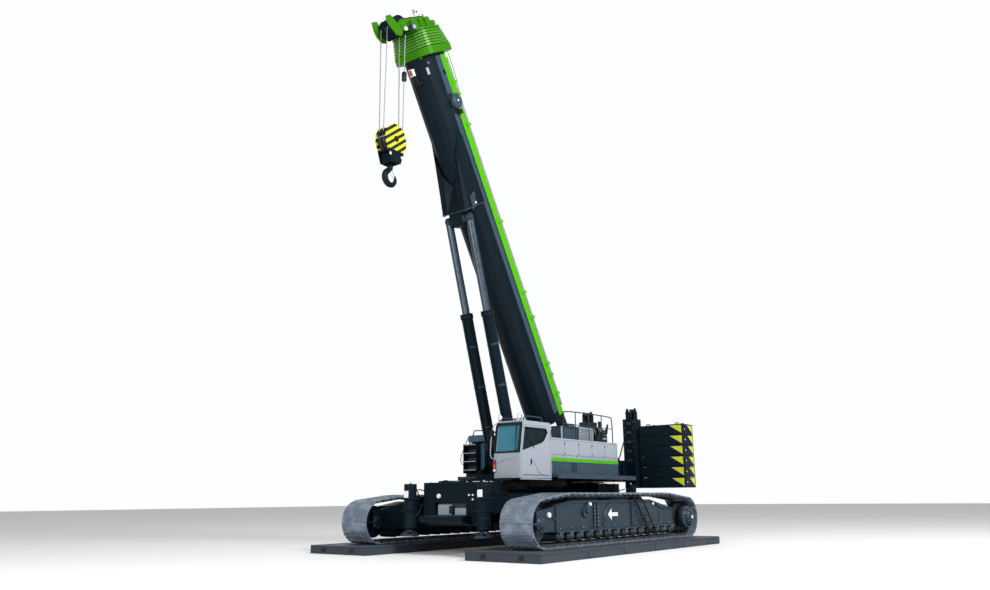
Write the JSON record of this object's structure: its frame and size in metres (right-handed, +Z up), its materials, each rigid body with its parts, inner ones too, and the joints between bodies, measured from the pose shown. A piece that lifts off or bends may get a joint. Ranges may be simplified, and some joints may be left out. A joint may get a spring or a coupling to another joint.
{
  "type": "telescopic boom crawler crane",
  "caption": "Crawler crane on steel ground mats: slewing upper structure with cab, luffing telescopic boom, counterweights, jacks and a hanging hook block.",
  "frame": {"origin": "on the slewing axis, level with the underside of the ground mats", "axes": "+X forward along the tracks, +Y to the machine's left, where the cab is, +Z up"},
  "size_m": [13.4018, 8.44, 16.6515],
  "materials": {
    "slate_paint": "semi-gloss paint",
    "green_paint": "gloss paint",
    "light_paint": "semi-gloss paint",
    "yellow_paint": "gloss paint with dark stripes",
    "worn_steel": "worn bare steel",
    "mat_steel": "dull paint",
    "chrome": "polished",
    "teal_glass": "tinted glass",
    "black_plastic": "matt"
  },
  "bodies": {
    "root": {"ground_mat_left": "mat_steel", "ground_mat_right": "mat_steel", "track_left": "worn_steel", "track_right": "worn_steel", "track_frame_left": "slate_paint", "track_frame_right": "slate_paint", "sprocket_left": "slate_paint", "sprocket_right": "slate_paint", "carbody": "slate_paint", "slewing_ring": "slate_paint", "end_weight_front": "slate_paint", "end_weight_rear": "slate_paint"},
    "upper": {"upper_frame": "slate_paint", "operator_seat": "black_plastic", "cab_console": "black_plastic", "machinery_housing": "light_paint", "side_tank": "slate_paint", "cab_shell": "light_paint", "windscreen": "teal_glass", "cab_side_glass": "teal_glass", "catwalk_left": "slate_paint", "catwalk_right": "slate_paint", "engine": "slate_paint", "control_cabinet": "slate_paint", "cooler": "light_paint", "exhaust_silencer": "slate_paint", "roof_handrail": "slate_paint", "ballast_carrier": "slate_paint", "counterweight_left": "slate_paint", "counterweight_right": "slate_paint"},
    "cab_door": {"cab_door": "light_paint", "cab_door_glass": "teal_glass"},
    "winch": {"winch_drum": "worn_steel"},
    "boom": {"boom_base": "slate_paint"},
    "head_sheaves": {"head_sheaves": "black_plastic"},
    "rope_hang": {"hoist_limit_weight": "black_plastic"},
    "hook_block": {"hook_block": "yellow_paint"},
    "block_sheaves": {"block_sheaves": "black_plastic"},
    "hook": {"hook": "slate_paint"},
    "housing_door_1": {"housing_door_1": "light_paint"},
    "housing_door_2": {"housing_door_2": "light_paint"},
    "housing_door_3": {"housing_door_3": "light_paint"},
    "housing_door_4": {"housing_door_4": "light_paint"},
    "housing_door_5": {"housing_door_5": "light_paint"},
    "boom_section_1": {"boom_section_1": "green_paint"},
    "boom_section_2": {"boom_section_2": "green_paint"},
    "boom_section_3": {"boom_section_3": "green_paint"},
    "boom_section_4": {"boom_section_4": "green_paint"},
    "boom_section_5": {"boom_section_5": "green_paint"},
    "boom_section_6": {"boom_section_6": "green_paint"},
    "boom_section_7": {"boom_section_7": "green_paint"},
    "luff_barrel_left": {"luff_barrel_left": "slate_paint"},
    "luff_rod_left": {"luff_rod_left": "chrome"},
    "luff_barrel_right": {"luff_barrel_right": "slate_paint"},
    "luff_rod_right": {"luff_rod_right": "chrome"},
    "jack_front_left": {"jack_foot_front_left": "slate_paint"},
    "jack_front_right": {"jack_foot_front_right": "slate_paint"},
    "jack_rear_left": {"jack_foot_rear_left": "slate_paint"},
    "jack_rear_right": {"jack_foot_rear_right": "slate_paint"}
  },
  "joints": [
    {"name": "slew", "type": "hinge", "parent": "root", "child": "upper", "pos_m": [0, 0, 2.11], "axis": [0, 0, 1], "continuous": true},
    {"name": "cab_door_hinge", "type": "hinge", "parent": "upper", "child": "cab_door", "pos_m": [1.425, 1.796, 2.9], "axis": [0, 0, 1], "range_deg": [0, 90]},
    {"name": "housing_door_1_hinge", "type": "hinge", "parent": "upper", "child": "housing_door_1", "pos_m": [1.28, 1.65, 3.06], "axis": [0, 0, -1], "range_deg": [0, 90]},
    {"name": "housing_door_2_hinge", "type": "hinge", "parent": "upper", "child": "housing_door_2", "pos_m": [0.448, 1.65, 3.06], "axis": [0, 0, -1], "range_deg": [0, 90]},
    {"name": "housing_door_3_hinge", "type": "hinge", "parent": "upper", "child": "housing_door_3", "pos_m": [-0.384, 1.65, 3.06], "axis": [0, 0, -1], "range_deg": [0, 90]},
    {"name": "housing_door_4_hinge", "type": "hinge", "parent": "upper", "child": "housing_door_4", "pos_m": [-1.216, 1.65, 3.06], "axis": [0, 0, -1], "range_deg": [0, 90]},
    {"name": "housing_door_5_hinge", "type": "hinge", "parent": "upper", "child": "housing_door_5", "pos_m": [-2.048, 1.65, 3.06], "axis": [0, 0, -1], "range_deg": [0, 90]},
    {"name": "winch_turn", "type": "hinge", "parent": "upper", "child": "winch", "pos_m": [-3.75, 0, 2.8], "axis": [0, 1, 0], "continuous": true},
    {"name": "boom_luff", "type": "hinge", "parent": "upper", "child": "boom", "pos_m": [-1.39, 0, 3.7], "axis": [0, -1, 0], "range_deg": [-59.7, 20.3]},
    {"name": "telescope_1", "type": "slide", "parent": "boom", "child": "boom_section_1", "axis": [0.5045, 0, 0.8634], "range_m": [0, 10.6]},
    {"name": "telescope_2", "type": "slide", "parent": "boom_section_1", "child": "boom_section_2", "axis": [0.5045, 0, 0.8634], "range_m": [0, 10.6]},
    {"name": "telescope_3", "type": "slide", "parent": "boom_section_2", "child": "boom_section_3", "axis": [0.5045, 0, 0.8634], "range_m": [0, 10.6]},
    {"name": "telescope_4", "type": "slide", "parent": "boom_section_3", "child": "boom_section_4", "axis": [0.5045, 0, 0.8634], "range_m": [0, 10.6]},
    {"name": "telescope_5", "type": "slide", "parent": "boom_section_4", "child": "boom_section_5", "axis": [0.5045, 0, 0.8634], "range_m": [0, 10.6]},
    {"name": "telescope_6", "type": "slide", "parent": "boom_section_5", "child": "boom_section_6", "axis": [0.5045, 0, 0.8634], "range_m": [0, 10.6]},
    {"name": "telescope_7", "type": "slide", "parent": "boom_section_6", "child": "boom_section_7", "axis": [0.5045, 0, 0.8634], "range_m": [0, 10.6]},
    {"name": "head_sheave_turn", "type": "hinge", "parent": "boom_section_7", "child": "head_sheaves", "pos_m": [6.80184, 0, 15.49875], "axis": [0, 1, 0], "continuous": true},
    {"name": "luff_barrel_left_swing", "type": "hinge", "parent": "upper", "child": "luff_barrel_left", "pos_m": [1.4, 0.42, 2.62], "axis": [-0.0929, -0.9929, -0.0748], "range_deg": [-72.74, 25.06]},
    {"name": "luff_rod_left_stroke", "type": "slide", "parent": "luff_barrel_left", "child": "luff_rod_left", "axis": [0.2872, 0, 0.9579], "range_m": [-2.6149, 0.8958]},
    {"name": "luff_barrel_right_swing", "type": "hinge", "parent": "upper", "child": "luff_barrel_right", "pos_m": [1.4, -0.42, 2.62], "axis": [0.0929, -0.9929, 0.0748], "range_deg": [-72.74, 25.06]},
    {"name": "luff_rod_right_stroke", "type": "slide", "parent": "luff_barrel_right", "child": "luff_rod_right", "axis": [0.2872, 0, 0.9579], "range_m": [-2.6149, 0.8958]},
    {"name": "rope_plumb", "type": "hinge", "parent": "boom_section_7", "child": "rope_hang", "pos_m": [6.80184, 0, 15.49875], "axis": [0, -1, 0], "range_deg": [-20.8, 60.2]},
    {"name": "hook_hoist", "type": "slide", "parent": "rope_hang", "child": "hook_block", "axis": [0, 0, -1], "range_m": [-1.35, 10.2]},
    {"name": "block_sheave_turn", "type": "hinge", "parent": "hook_block", "child": "block_sheaves", "pos_m": [6.80184, 0, 11.8], "axis": [0, 1, 0], "continuous": true},
    {"name": "hook_swivel", "type": "hinge", "parent": "hook_block", "child": "hook", "pos_m": [6.80184, 0, 11.2], "axis": [0, 0, 1], "continuous": true},
    {"name": "jack_front_left_stroke", "type": "slide", "parent": "root", "child": "jack_front_left", "axis": [0, 0, -1], "range_m": [0, 0.6]},
    {"name": "jack_front_right_stroke", "type": "slide", "parent": "root", "child": "jack_front_right", "axis": [0, 0, -1], "range_m": [0, 0.6]},
    {"name": "jack_rear_left_stroke", "type": "slide", "parent": "root", "child": "jack_rear_left", "axis": [0, 0, -1], "range_m": [0, 0.6]},
    {"name": "jack_rear_right_stroke", "type": "slide", "parent": "root", "child": "jack_rear_right", "axis": [0, 0, -1], "range_m": [0, 0.6]}
  ],
  "couplings": [
    {"joint": "luff_barrel_left_swing", "follows": "boom_luff", "ratio": 1.21},
    {"joint": "luff_rod_left_stroke", "follows": "boom_luff", "m_per_rad": 2.5},
    {"joint": "luff_barrel_right_swing", "follows": "boom_luff", "ratio": 1.21},
    {"joint": "luff_rod_right_stroke", "follows": "boom_luff", "m_per_rad": 2.5},
    {"joint": "rope_plumb", "follows": "boom_luff", "ratio": -1}
  ]
}
